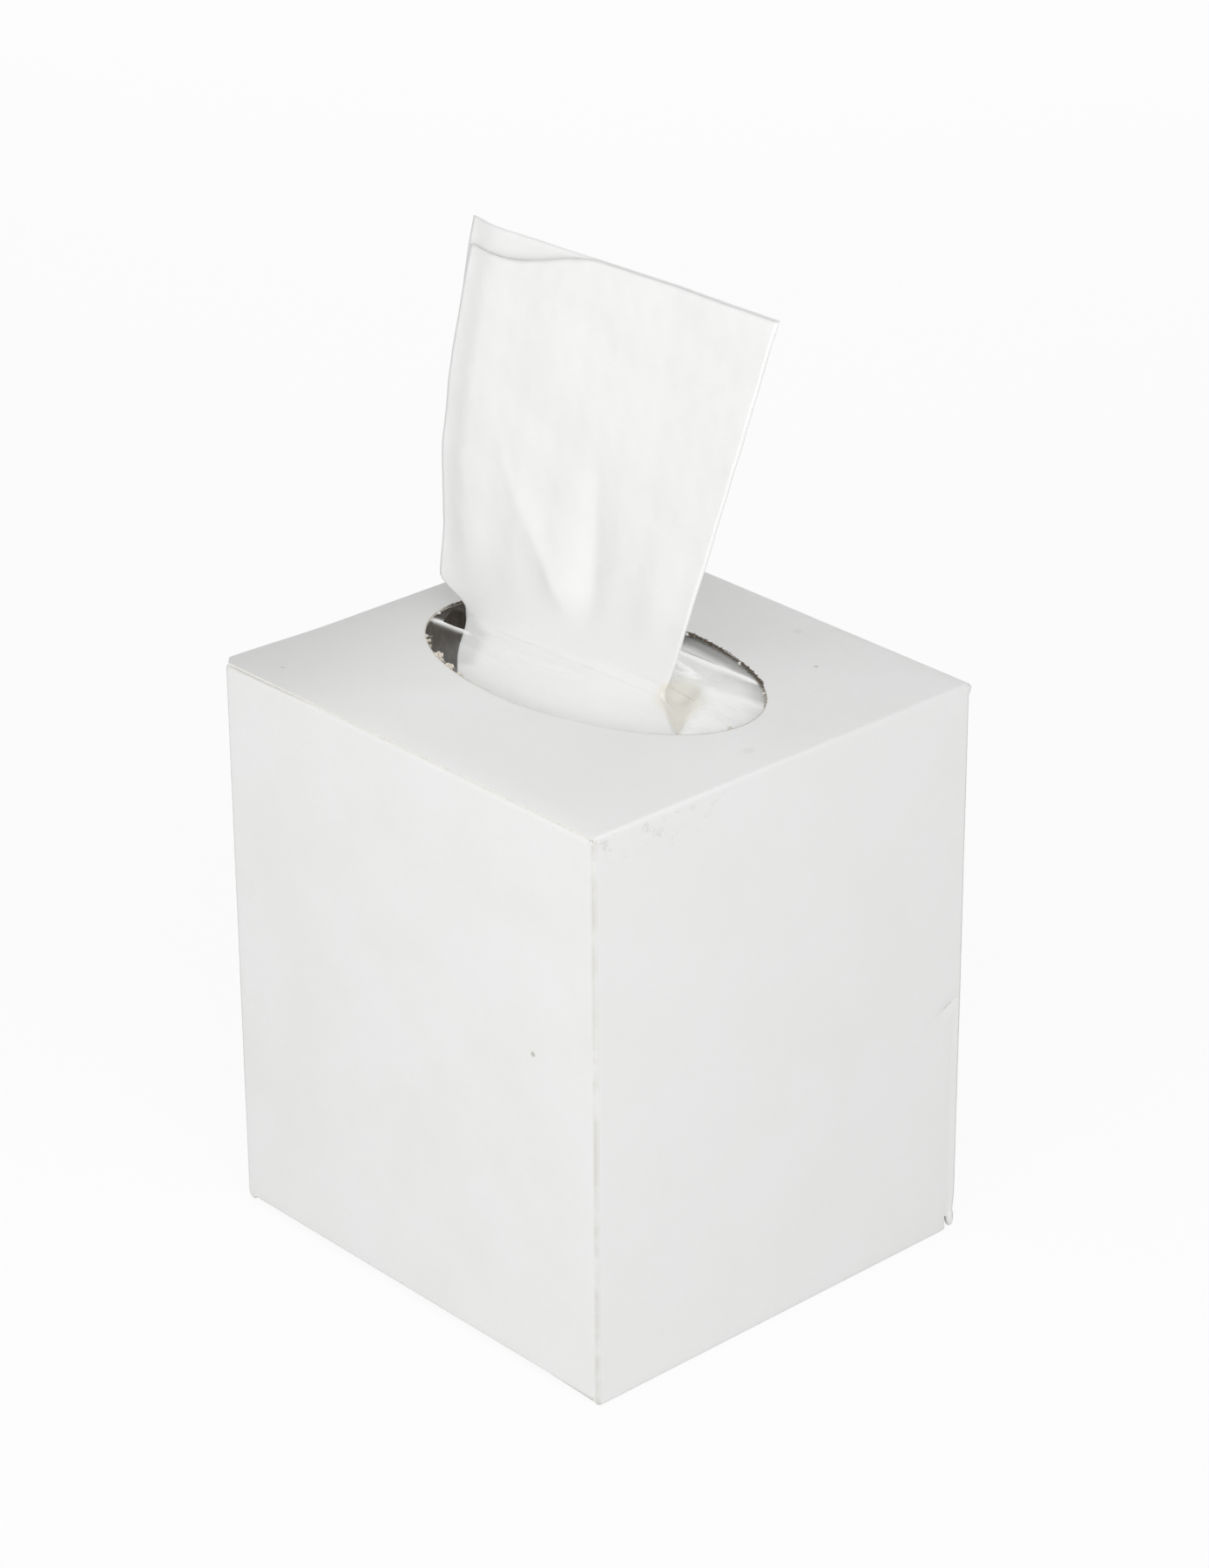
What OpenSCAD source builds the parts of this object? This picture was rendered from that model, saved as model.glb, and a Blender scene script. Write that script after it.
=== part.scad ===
// Upright tissue box: a folded board carton with an oval mouth, a slit film under the mouth,
// one tissue drawn up through the slit, and the folded pile that it comes from.
// X runs along the two long walls, Y across the box and Z up. The origin is the middle of the base.

/* [Carton] */
// Length of the box, along the front and back walls
carton_l = 117; // [100:1:150]
// Width of the box, along the left and right walls
carton_w = 108; // [95:1:150]
// Height of the box, from the base to the top panel's face
carton_h = 133; // [90:1:180]
// Thickness of the board
board_t = 0.5; // [0.3:0.05:0.8]
// Outside radius of the folded creases
crease_r = 1.2; // [0.9:0.1:2.5]
// Width of the glued tab behind the right wall's free edge
seam_tab_w = 15; // [8:1:25]
// How far the right wall's free edge stops short of the back wall's face
seam_set = 1.6; // [1:0.1:3]
// How much farther it stops short below the step in it
seam_step = 2.1; // [0.5:0.1:4]
// Height of the step
seam_step_z = 58; // [30:1:70]
// How far a tear runs into the wall from the step
tear_l = 3.5; // [1:0.5:10]

/* [Top flaps] */
// Reach of the two dust flaps from the front and back walls
top_dust_l = 20; // [10:1:22]
// Reach of the seal flap from the left wall
top_seal_l = 8; // [5:0.5:9]
// How far the top panel's cut edges stop short of the walls' faces
panel_set = 0.5; // [0:0.1:1.5]
// Size of the cut across each free corner of the top panel
panel_corner = 2; // [0.5:0.5:5]

/* [Bottom flaps] */
// Reach of the outer bottom flap from the right wall
bottom_outer_l = 92; // [70:1:95]
// Reach of the inner bottom flap from the left wall
bottom_inner_l = 60; // [40:1:85]
// Reach of the two bottom dust flaps from the front and back walls
bottom_dust_l = 30; // [15:1:40]

/* [Flap shape] */
// How much each end of a flap slants in over its reach
flap_slant = 3; // [0:0.5:6]
// Gap that parts two flaps at a corner
flap_slot = 0.6; // [0.3:0.1:2]

/* [Mouth] */
// Length of the oval mouth
mouth_l = 88; // [70:1:92]
// Width of the oval mouth
mouth_w = 51; // [40:1:54]
// Place of the mouth's middle along X
mouth_x = -3.4; // [-5:0.1:5]
// Place of the mouth's middle along Y
mouth_y = 2.2; // [-5:0.1:5]
// Turn of the mouth on the top panel, in degrees
mouth_turn = 3.5; // [-5:0.5:5]
// Number of torn ties left on the mouth's rim
ties = 14; // [4:1:24]
// How far a torn tie stands into the mouth
tie_reach = 0.6; // [0.3:0.1:1]
// Width of a torn tie at its root
tie_w = 1.4; // [0.8:0.1:3]

/* [Film] */
// Thickness of the film
film_t = 0.06; // [0.04:0.01:0.2]
// Glued margin of the film round the mouth
film_margin = 5; // [3:0.5:6]
// How far each end of the slit stops short of the mouth's tip
slit_set = 1; // [0.5:0.5:6]
// How high the tissue pushes the middle of the film up
film_lift = 4.5; // [1:0.5:8]
// Gap between the film's lips and the tissue
lip_gap = 0.35; // [0.2:0.05:1]
// How far the front lip is pushed forward
lip_bow = 5.4; // [0:0.2:8]

/* [Raised tissue] */
// Thickness of the tissue
tissue_t = 0.25; // [0.15:0.05:0.5]
// Height of the tissue above the top panel
rise = 91; // [50:0.5:130]
// Length of the tissue where the slit gathers it
neck_l = 59; // [40:0.5:66]
// Place of the gathered neck's middle along the slit
neck_x = -8.5; // [-14:0.5:8]
// How far the tissue's left edge swells out above the slit
left_swell = 8; // [0:0.5:12]
// How far the left edge leans back in at the top
left_lean = 10; // [0:0.5:20]
// How far the right edge spreads from the slit to the top
right_spread = 32; // [10:0.5:40]
// How far the front leaf's top edge sags at its left end
hem_sag = 6; // [0:0.5:12]
// Half of the space between the tissue's two leaves
leaf_gap = 0.5; // [0.3:0.1:1.5]
// Depth of the valley that rises from the gathers
valley_depth = 1.8; // [0:0.1:6]
// Height of the crease that runs from the gathers up to the left edge
crease_height = 1.4; // [0:0.1:4]
// Depth of the gathers that the slit makes
gather_depth = 0.4; // [0:0.1:2]
// How far the tissue's left edge curls back
left_curl = 1.5; // [0:0.5:6]
// How far the tissue's right part bends forward
right_bend = 1.2; // [0:0.1:6]
// How far each leaf has spread where the skirt meets the pile
skirt_spread = 26; // [10:1:30]
// How much wider the back leaf spreads than the front one
skirt_back = 1.35; // [1:0.05:1.4]
// How far the skirt's left end runs past the neck
skirt_left = 2.5; // [0:0.5:6]
// How far the skirt's right end runs past the neck
skirt_right = 30; // [5:1:32]
// How far the skirt has dropped where it is half spread
skirt_drop = 1.5; // [1:0.5:6]
// Depth of the pocket where the skirt's right part is tucked in
pocket_depth = 3.5; // [0:0.5:6]

/* [Pile] */
// Headspace between the pile and the top panel's face
headspace = 24; // [15:1:60]
// Gap between the pile and the walls along X
pile_gap_x = 5; // [2:0.5:10]
// Gap between the pile and the walls along Y
pile_gap_y = 4.5; // [2:0.5:10]
// Number of folded bundles in the pile
bundles = 36; // [12:1:60]
// How far each bundle is shifted from its neighbours
bundle_shift = 0.7; // [0:0.1:1.5]

/* [Hidden] */

// The top's inner flaps lie under the film's thickness, in one layer.
top_inner_z = carton_h - board_t - film_t;
// The bottom's flaps lie in three layers, the dust flaps uppermost.
bottom_inner_z = board_t;
bottom_dust_z = 2 * board_t;
floor_z = 3 * board_t;
// The oval's half axes, and the angle between the points that draw it.
mouth_a = mouth_l / 2;
mouth_b = mouth_w / 2;
mouth_step = 3;
// How far a tie's root is sunk in the board, and where the first tie is.
tie_root = 0.3;
tie_start = 8;
// The number of facets of a whole crease.
crease_facets = 48;
pile_top = carton_h - headspace;
pile_l = carton_l - 2 * (board_t + pile_gap_x);
pile_w = carton_w - 2 * (2 * board_t + pile_gap_y);
// The slit and its lips, in the mouth's own frame.
slit_half = mouth_a - slit_set;
neck_x0 = neck_x - neck_l / 2;
neck_x1 = neck_x + neck_l / 2;
lip_half = leaf_gap + tissue_t / 2 + lip_gap;
lip_shut = 0.15;
// Where the lips begin to close, inside the neck's left end and past its right end, and how round.
lip_in = 6;
lip_past = 1;
lip_round = 4;
// Where the front lip's bow is full at the left, where it starts to die away, and how sharply.
bow_in = 4;
bow_x = -35;
bow_power = 2.5;
// The share of the mouth over which the film is pushed up, and how sharply.
lift_share = 0.84;
lift_power = 1.5;
film_cols = 38;
film_rows = 8;
// The skirt's foot, just above the pile's top, the start of its spread, just under the film, and its
// curve as shares of its spread and height.
pile_clear = 0.1;
skirt_foot = -headspace + tissue_t / 2 + pile_clear;
film_clear = 0.64;
skirt_head = -board_t - film_t - film_clear;
skirt_bulge = 1.6;
skirt_high = 0.1;
skirt_near = 0.5;
// How the skirt's right end runs out, and how its left edge first runs out and then draws in.
skirt_power = 0.6;
skirt_in = 0.3;
skirt_slide = 1;
// The pocket's wide end and its point, from the neck's right end, its half widths and its ends' run.
pocket_from = [-6, 11];
pocket_to = [13, -10];
pocket_w = 7;
pocket_tip = 0.5;
pocket_run = 0.25;
leaf_cols = 26;
fold_cols = 14;
skirt_rows = 12;
rise_rows = 18;
row_power = 1.25;
// How far the tear starts over the step and ends under it, how wide it gapes, and its points.
tear_over = 1;
tear_under = 1.5;
tear_gape = 0.6;
tear_points = 8;
// The angle between the points that draw a bundle's fold.
bundle_step = 30;
// The folds begin above the film's lips and are full a little higher.
fold_clear = 0.5;
fold_start = film_lift + fold_clear;
fold_run = 15;
// The valley's place at the slit, its slant, its width and the height where it ends.
valley_x = -2.5;
valley_slant = 0.1;
valley_w = 5;
valley_top = 58;
// The crease's place at the slit, its slant, its width and the height where it ends.
crease_x = -2.1;
crease_slant = -0.6;
crease_w = 4;
crease_top = 56;
// The gathers' number across a leaf, and the height over which they die away.
gathers = 5.5;
gather_run = 22;
// The strip of the left edge that curls back.
curl_w = 9;
// The line that the right part bends forward from, at the slit and at the top, and the bend's width.
line_x0 = 9.3;
line_x1 = 24.3;
bend_w = 26;
// Where the left edge starts to lean back in, and where and over what height it swells out.
lean_start = 35.5;
lean_power = 1.2;
swell_start = 1.5;
swell_run = 6;
// How evenly the right edge spreads.
spread_power = 0.94;
// Where the front leaf's sagging stretch ends, and the run over which it ends.
sag_end = 4;
sag_run = 30;
sag_start = 0.55;

function smooth(t) = let (c = min(max(t, 0), 1)) c * c * (3 - 2 * c);
function flat(rows) = [for (row = rows) each row];
function unit(v) = v / norm(v);

// A thin closed sheet between two grids of points. keep(i, j) tells which cells are there.
module sheet(face, back, keep = function (i, j) true) {
  n = len(face);
  m = len(face[0]);
  at = function (i, j) i * m + j;
  there = function (i, j) i >= 0 && j >= 0 && i < n - 1 && j < m - 1 && keep(i, j);
  cells = [for (i = [0:n - 2]) for (j = [0:m - 2]) if (keep(i, j)) [i, j]];
  skin = [for (c = cells) let (a = at(c[0], c[1]), b = at(c[0] + 1, c[1]))
    each [[a, b, a + 1], [b, b + 1, a + 1]]];
  under = [for (f = skin) [f[0] + n * m, f[2] + n * m, f[1] + n * m]];
  rim = function (a, b) [[b, a, b + n * m], [a, a + n * m, b + n * m]];
  edges = [for (c = cells) let (i = c[0], j = c[1]) each concat(
    there(i - 1, j) ? [] : [[at(i, j), at(i, j + 1)]],
    there(i + 1, j) ? [] : [[at(i + 1, j + 1), at(i + 1, j)]],
    there(i, j - 1) ? [] : [[at(i + 1, j), at(i, j)]],
    there(i, j + 1) ? [] : [[at(i, j + 1), at(i + 1, j + 1)]])];
  sides = [for (e = edges) each rim(e[1], e[0])];
  polyhedron(points = concat(flat(face), flat(back)), faces = concat(skin, under, sides));
}

// The place of the mouth on the top panel.
module at_mouth(z = 0) {
  translate([mouth_x, mouth_y, z])
    rotate(mouth_turn)
      children();
}

// A quarter of the crease's ring, with the folded corner at the origin.
module crease_section() {
  translate([crease_r, -crease_r])
    intersection() {
      difference() {
        circle(crease_r, $fn = crease_facets);
        circle(crease_r - board_t, $fn = crease_facets);
      }
      translate([-crease_r, 0])
        square(crease_r);
    }
}

// A crease along X, from the outside of a wall to the top of the flap that it carries.
module crease(x0, x1) {
  translate([x0, 0, 0])
    rotate([90, 0, 90])
      linear_extrude(x1 - x0)
        crease_section();
}

// A flap that lies in from the wall's face at y = 0, with its outer face at z = 0.
module flap(x0, x1, reach) {
  translate([0, 0, -board_t])
    linear_extrude(board_t)
      polygon([[x0, crease_r], [x1, crease_r], [x1 - flap_slant, reach], [x0 + flap_slant, reach]]);
}

// A wall standing on y = 0, between the creases at its foot and its head.
module wall(x0, x1, foot, head) {
  translate([x0, 0, foot + crease_r])
    cube([x1 - x0, board_t, head - foot - 2 * crease_r]);
}

function on_oval(a) = [mouth_a * cos(a), mouth_b * sin(a)];

// A torn tie of board at angle a on the mouth's rim, pointing into the mouth.
module tie(a) {
  out = unit([cos(a) / mouth_a, sin(a) / mouth_b]);
  along = [-out[1], out[0]];
  root = on_oval(a) + tie_root * out;
  polygon([root - tie_w / 2 * along, root + tie_w / 2 * along, on_oval(a) - tie_reach * out]);
}

// The mouth, less the ties that stand into it where the oval was torn out.
module oval() {
  difference() {
    polygon([for (a = [0:mouth_step:360 - mouth_step]) on_oval(a)]);
    for (i = [0:1:ties - 1])
      tie(tie_start + 360 * i / ties);
  }
}

// The right wall's face: its free edge steps in at the step, where a tear runs on into the board.
module torn_face(x0, x1, x_low) {
  tip = x_low - tear_l;
  start = (x1 - x_low) / (x1 - tip);
  tear_x = function (t) x1 + (tip - x1) * t;
  tear_z = function (t) seam_step_z + tear_over - (tear_over + tear_under) * smooth(t);
  upper = [for (i = [tear_points:-1:0]) let (t = i / tear_points) [tear_x(t), tear_z(t)]];
  lower = [for (i = [0:tear_points - 1]) let (t = start + (1 - start) * i / tear_points)
    [tear_x(t), tear_z(t) - tear_gape * (1 - t)]];
  polygon(concat([[x0, carton_h - crease_r], [x0, crease_r], [x_low, crease_r]], lower, upper,
                 [[x1, carton_h - crease_r]]));
}

// The right wall carries the top panel and the outer bottom flap.
module right_wall() {
  x0 = -carton_w / 2 + crease_r;
  x1 = carton_w / 2 - seam_set;
  x_low = x1 - seam_step;
  panel_half = carton_w / 2 - panel_set;
  reach = carton_l - panel_set;
  translate([0, board_t, 0])
    rotate([90, 0, 0])
      linear_extrude(board_t)
        torn_face(x0, x1, x_low);
  translate([0, 0, carton_h])
    crease(-panel_half, panel_half);
  mirror([0, 0, 1])
    crease(x0, x_low);
  mirror([0, 0, 1])
    flap(x0, x_low, bottom_outer_l);
  translate([0, 0, carton_h - board_t])
    linear_extrude(board_t)
      polygon([[-panel_half, crease_r], [panel_half, crease_r], [panel_half, reach - panel_corner],
               [panel_half - panel_corner, reach], [-panel_half + panel_corner, reach],
               [-panel_half, reach - panel_corner]]);
}

// The left wall carries the top seal flap and the inner bottom flap.
module left_wall() {
  half = carton_w / 2 - crease_r;
  wall(-half, half, bottom_inner_z, top_inner_z);
  translate([0, 0, top_inner_z]) {
    crease(-half + flap_slot, half - flap_slot);
    flap(-half + flap_slot, half - flap_slot, top_seal_l);
  }
  translate([0, 0, bottom_inner_z])
    mirror([0, 0, 1]) {
      crease(-half + flap_slot, half - flap_slot);
      flap(-half + flap_slot, half - flap_slot, bottom_inner_l);
    }
}

// The front and back walls carry the dust flaps. The top ones stop clear of the seal flap.
module long_wall(right_end) {
  left_end = -carton_l / 2 + crease_r;
  wall(left_end, right_end, bottom_dust_z, top_inner_z);
  translate([0, 0, top_inner_z]) {
    crease(left_end + flap_slot, right_end - flap_slot);
    flap(-carton_l / 2 + top_seal_l + flap_slot, right_end - flap_slot, top_dust_l);
  }
  translate([0, 0, bottom_dust_z])
    mirror([0, 0, 1]) {
      crease(left_end + flap_slot, right_end - flap_slot);
      flap(left_end + flap_slot, right_end - flap_slot, bottom_dust_l);
    }
}

// The tab that the back wall folds in behind the right wall, with slanted ends.
module seam_tab() {
  z0 = bottom_dust_z + crease_r + flap_slot;
  z1 = top_inner_z - crease_r - flap_slot;
  y1 = carton_w / 2 - crease_r;
  y0 = y1 - seam_tab_w;
  translate([carton_l / 2 - 2 * board_t, 0, 0])
    rotate([90, 0, 90])
      linear_extrude(board_t)
        polygon([[y1, z0], [y1, z1], [y0, z1 - flap_slant], [y0, z0 + flap_slant]]);
}

// A folded corner between two walls.
module corner() {
  translate([0, 0, bottom_dust_z + crease_r])
    linear_extrude(top_inner_z - bottom_dust_z - 2 * crease_r)
      crease_section();
}

module carton() {
  half_l = carton_l / 2;
  half_w = carton_w / 2;
  color([0.93, 0.93, 0.92])
    difference() {
      union() {
        translate([half_l, 0, 0])
          rotate(90)
            right_wall();
        translate([-half_l, 0, 0])
          rotate(-90)
            left_wall();
        translate([0, -half_w, 0])
          long_wall(half_l - crease_r);
        translate([0, half_w, 0])
          mirror([0, 1, 0])
            long_wall(half_l - board_t - crease_r);
        seam_tab();
        translate([-half_l, half_w, 0])
          corner();
        translate([-half_l, -half_w, 0])
          mirror([0, 1, 0])
            corner();
        translate([half_l, -half_w, 0])
          rotate(180)
            corner();
        translate([half_l - board_t, half_w, 0])
          mirror([1, 0, 0])
            corner();
      }
      at_mouth(carton_h - board_t - film_t / 2)
        linear_extrude(board_t + film_t)
          oval();
    }
}

// Half the width between the film's lips at x: open round the tissue, closing to the slit's ends.
function lip(x) = let (
    left_run = slit_half + neck_x0 + lip_in,
    right_run = slit_half - neck_x1 - lip_past,
    left = 1 - pow(min(max((neck_x0 + lip_in - x) / left_run, 0), 1), lip_round),
    right = 1 - min(max((x - neck_x1 - lip_past) / right_run, 0), 1))
  lip_shut + (lip_half - lip_shut) * sqrt(max(left, 0)) * right;
// How far the front lip stands forward at x.
function bow(x) = let (
    away = min(max((x - bow_x) / (neck_x1 + lip_past - bow_x), 0), 1))
  lip_bow * smooth((x + slit_half) / bow_in) * (1 - pow(away, bow_power));
// How far the film is pushed up at a point.
function lift(x, y) = let (
    share = 1 - (pow(x / mouth_a, 2) + pow(y / mouth_b, 2)) / (lift_share * lift_share))
  film_lift * pow(max(share, 0), lift_power);

module slit_film() {
  half_l = mouth_a + film_margin;
  half_w = mouth_b + film_margin;
  front = [for (j = [0:film_rows]) [-1, j / film_rows]];
  back = [for (j = [film_rows:-1:0]) [1, j / film_rows]];
  column_x = function (i) -half_l + 2 * half_l * i / film_cols;
  edge = function (x, side) lip(x) + (side < 0 ? bow(x) : 0);
  point = function (i, row, drop) let (
      x = column_x(i),
      y = row[0] * (half_w + (edge(x, row[0]) - half_w) * row[1]))
    [x, y, lift(x, y) - drop];
  grid = function (drop) [for (i = [0:film_cols]) [for (row = concat(front, back)) point(i, row, drop)]];
  in_slit = function (i, j) j == film_rows && column_x(i) > -slit_half && column_x(i + 1) < slit_half;
  color([0.85, 0.88, 0.88, 0.4])
    at_mouth(carton_h - board_t)
      sheet(grid(0), grid(film_t), function (i, j) !in_slit(i, j));
}

// The tissue's left and right edges at height z above the top panel's face.
function left_x(z) = neck_x0 - left_swell * smooth((z - swell_start) / swell_run)
  + left_lean * pow(max(z - lean_start, 0) / (rise - lean_start), lean_power);
function right_x(z) = neck_x1 + right_spread * pow(z / rise, spread_power);
// A fold that is sharpest on the line x = at and dies away over w on both sides of it.
function fold_at(x, at, w) = exp(-(sqrt(pow(x - at, 2) + 1) - 1) / w);
// How far the whole tissue is bent in y at a point: the valley, the long crease, the gathers,
// the curled left edge and the bent right part.
function bend_y(x, z) = let (
    rising = smooth((z - fold_start) / fold_run),
    share = (x - left_x(z)) / (right_x(z) - left_x(z)),
    line = line_x0 + (line_x1 - line_x0) * z / rise)
  rising * (
    valley_depth * fold_at(x, valley_x + valley_slant * z, valley_w)
      * (1 - smooth((z - fold_run) / (valley_top - fold_run)))
    - crease_height * fold_at(x, crease_x + crease_slant * z, crease_w) * (1 - smooth(z / crease_top))
    + gather_depth * sin(360 * gathers * share) * exp(-z / gather_run)
    + left_curl * smooth((left_x(z) + curl_w - x) / curl_w)
    - right_bend * max(x - line, 0) / bend_w);
// How far the front leaf's top edge sags at x.
function sag(x) = hem_sag * (1 - smooth((x - sag_end + sag_run) / sag_run));
// The skirt's half width and height, along a curve from the pile at t = 0 to the slit at t = 1. From
// the slit it spreads out under the film and then drops to the pile.
function skirt(t) = let (
    p = [[skirt_spread, skirt_foot], [skirt_spread * skirt_bulge, skirt_foot * skirt_high],
         [skirt_spread * skirt_near, skirt_head - skirt_drop], [leaf_gap, skirt_head]],
    s = 1 - t)
  s * s * s * p[0] + 3 * s * s * t * p[1] + 3 * s * t * t * p[2] + t * t * t * p[3];
// How deep the pocket is at a point.
function pocket(x, y) = let (
    run = pocket_to - pocket_from,
    from = [x - neck_x1, y] - pocket_from,
    s = min(max(from * run / (run * run), 0), 1),
    off = abs(cross(from, run)) / norm(run))
  pocket_depth * smooth(1 - off / (pocket_w * (1 - s) + pocket_tip))
    * smooth(s / pocket_run) * smooth((1 - s) / pocket_run);

// A point of the sheet. side is -1 on the front leaf and 1 on the back one, and u runs from the
// leaf's free edge at 0 to the fold at 1. turn is the angle round the fold.
function rise_point(z, side, u, turn) = let (
    x_left = left_x(z),
    x_fold = right_x(z) - leaf_gap,
    x = turn == undef ? x_left + (x_fold - x_left) * u : x_fold + leaf_gap * sin(turn),
    y = turn == undef ? side * leaf_gap : -leaf_gap * cos(turn),
    drop = side < 0 ? sag(x) * smooth((z / rise - sag_start) / (1 - sag_start)) : 0)
  [x, y + bend_y(x, z), z - drop];
function skirt_point(t, side, u, turn) = let (
    p = skirt(t),
    x_left = neck_x0 - skirt_left * smooth((1 - t) / skirt_in) + skirt_slide * (p[0] - leaf_gap),
    x_fold = neck_x1 + skirt_right * pow(1 - t, skirt_power) - p[0],
    wide = side < 0 ? 1 : 1 + (skirt_back - 1) * smooth((1 - t) / skirt_in),
    x = turn == undef ? x_left + (x_fold - x_left) * u : x_fold + p[0] * sin(turn),
    y = wide * p[0] * (turn == undef ? side : -cos(turn)))
  [x, y, p[1] - pocket(x, y)];
// A row of the sheet: the front leaf, the fold and the back leaf.
function sheet_row(point) = concat(
  [for (i = [0:leaf_cols - 1]) point(-1, i / leaf_cols)],
  [for (i = [0:fold_cols]) point(i < fold_cols / 2 ? -1 : 1, 1, 180 * i / fold_cols)],
  [for (i = [leaf_cols - 1:-1:0]) point(1, i / leaf_cols)]);
// The grid's normal at a point, from its neighbours.
function normal(grid, i, j) = let (
    n = len(grid) - 1,
    m = len(grid[0]) - 1)
  unit(cross(grid[min(i + 1, n)][j] - grid[max(i - 1, 0)][j],
             grid[i][min(j + 1, m)] - grid[i][max(j - 1, 0)]));

module raised_tissue() {
  skirt_part = [for (i = [0:skirt_rows]) let (t = i / skirt_rows)
    sheet_row(function (side, u, turn) skirt_point(t, side, u, turn))];
  rise_part = [for (i = [0:rise_rows]) let (z = rise * pow(i / rise_rows, row_power))
    sheet_row(function (side, u, turn) rise_point(z, side, u, turn))];
  middle = concat(skirt_part, rise_part);
  moved = function (by) [for (i = [0:len(middle) - 1]) [for (j = [0:len(middle[0]) - 1])
    middle[i][j] + by * normal(middle, i, j)]];
  color([0.97, 0.97, 0.96])
    at_mouth(carton_h)
      sheet(moved(tissue_t / 2), moved(-tissue_t / 2));
}

// The right side of bundle i: a rounded fold on every second bundle, and a cut end on the others.
function bundle_end(i, folded, h, half) = folded
  ? [for (a = [-90:bundle_step:90]) [half + bundle_shift + h / 2 * cos(a), (i + 0.5 + sin(a) / 2) * h]]
  : [[half, i * h], [half, (i + 1) * h]];

// The pile of folded bundles, with the folds at the two sides by turns.
module tissue_stack() {
  h = (pile_top - floor_z) / bundles;
  half = pile_w / 2 - bundle_shift - h / 2;
  right = [for (i = [0:bundles - 1]) each bundle_end(i, i % 2 == 0, h, half)];
  left = [for (i = [0:bundles - 1]) each bundle_end(i, i % 2 == 1, h, half)];
  color([0.96, 0.96, 0.94])
    translate([-pile_l / 2, 0, floor_z])
      rotate([90, 0, 90])
        linear_extrude(pile_l)
          polygon(concat(right, [for (k = [len(left) - 1:-1:0]) [-left[k][0], left[k][1]]]));
}

carton();
slit_film();
tissue_stack();
raised_tissue();
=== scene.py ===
"""Dresses the tissue box: white board, torn mouth, slit film, raised tissue and folded pile."""
import math

import bmesh
import bpy
import numpy as np
from mathutils import Matrix, Vector


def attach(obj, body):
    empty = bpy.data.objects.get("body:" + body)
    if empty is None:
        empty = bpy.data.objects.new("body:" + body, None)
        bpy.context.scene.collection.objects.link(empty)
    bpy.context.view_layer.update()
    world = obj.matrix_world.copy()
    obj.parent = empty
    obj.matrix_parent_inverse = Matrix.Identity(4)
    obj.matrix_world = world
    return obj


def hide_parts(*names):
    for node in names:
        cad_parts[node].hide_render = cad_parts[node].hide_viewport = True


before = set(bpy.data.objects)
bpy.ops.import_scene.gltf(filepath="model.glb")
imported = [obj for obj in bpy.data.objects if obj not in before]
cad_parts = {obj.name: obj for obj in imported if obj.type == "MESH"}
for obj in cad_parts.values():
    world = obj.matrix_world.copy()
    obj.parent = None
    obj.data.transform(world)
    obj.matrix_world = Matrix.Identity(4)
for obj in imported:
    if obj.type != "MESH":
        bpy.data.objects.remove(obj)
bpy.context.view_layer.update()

# Sizes in mm, as in the part's source, apart from LIP_SHUT and LIP_CLOSE, which shut the film's lips
# sooner to the right of the tissue than the source does.
MM = 0.001
CARTON_L = 117.0
CARTON_W = 108.0
CARTON_H = 133.0
BOARD_T = 0.5
CREASE_R = 1.2
MOUTH_A = 44.0
MOUTH_B = 25.5
MOUTH_X = -3.4
MOUTH_Y = 2.2
MOUTH_TURN = math.radians(3.5)
FILM_T = 0.06
FILM_MARGIN = 5.0
FILM_LIFT = 4.5
LIFT_SHARE = 0.84
LIFT_POWER = 1.5
SLIT_HALF = 43.0
LIP_SHUT = 0.03
LIP_GAP = 0.35
LIP_IN = 6.0
LIP_PAST = 1.0
LIP_ROUND = 4.0
LIP_CLOSE = 6.0
LIP_BOW, BOW_IN, BOW_X, BOW_POWER = 5.4, 4.0, -35.0, 2.5
TISSUE_T = 0.25
RISE = 91.0
NECK_X0 = -38.0
NECK_X1 = 21.0
LEAF_GAP = 0.5
HEADSPACE = 24.0
SKIRT_FOOT = -HEADSPACE + TISSUE_T / 2 + 0.1
SKIRT_SPREAD = 26.0
PILE_L = 106.0
PILE_W = 97.0
FLOOR_Z = 3 * BOARD_T
BUNDLES = 36
BUNDLE_SHIFT = 0.7


def smooth(t):
    """A soft step from 0 to 1."""
    c = np.clip(t, 0.0, 1.0)
    return c * c * (3 - 2 * c)


def ripple(a, b, length, seed):
    """Soft seeded noise of about one unit over two coordinates, from crossed waves of that length."""
    rng = np.random.default_rng(seed)
    total = np.zeros(np.broadcast(a, b).shape)
    for _ in range(7):
        angle, phase = rng.uniform(0, 2 * math.pi, 2)
        size = 2 * math.pi / (length * rng.uniform(0.7, 1.6))
        total = total + np.sin((a * math.cos(angle) + b * math.sin(angle)) * size + phase)
    return total / 3


def at_mouth(x, y, z):
    """Points of the mouth's own frame as points of the part, in mm."""
    c, s = math.cos(MOUTH_TURN), math.sin(MOUTH_TURN)
    return np.stack([MOUTH_X + c * x - s * y, MOUTH_Y + s * x + c * y, z + 0 * x], axis=-1)


# Shift on the top panel's plane, as the photograph's camera sees it, for each mm of height.
SEEN_X, SEEN_Y = -1.435, 1.456


def seen_at(x, y, z):
    """Where the photograph's camera sees points at height z over the top panel, on the panel's plane."""
    return x + SEEN_X * z, y + SEEN_Y * z


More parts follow.
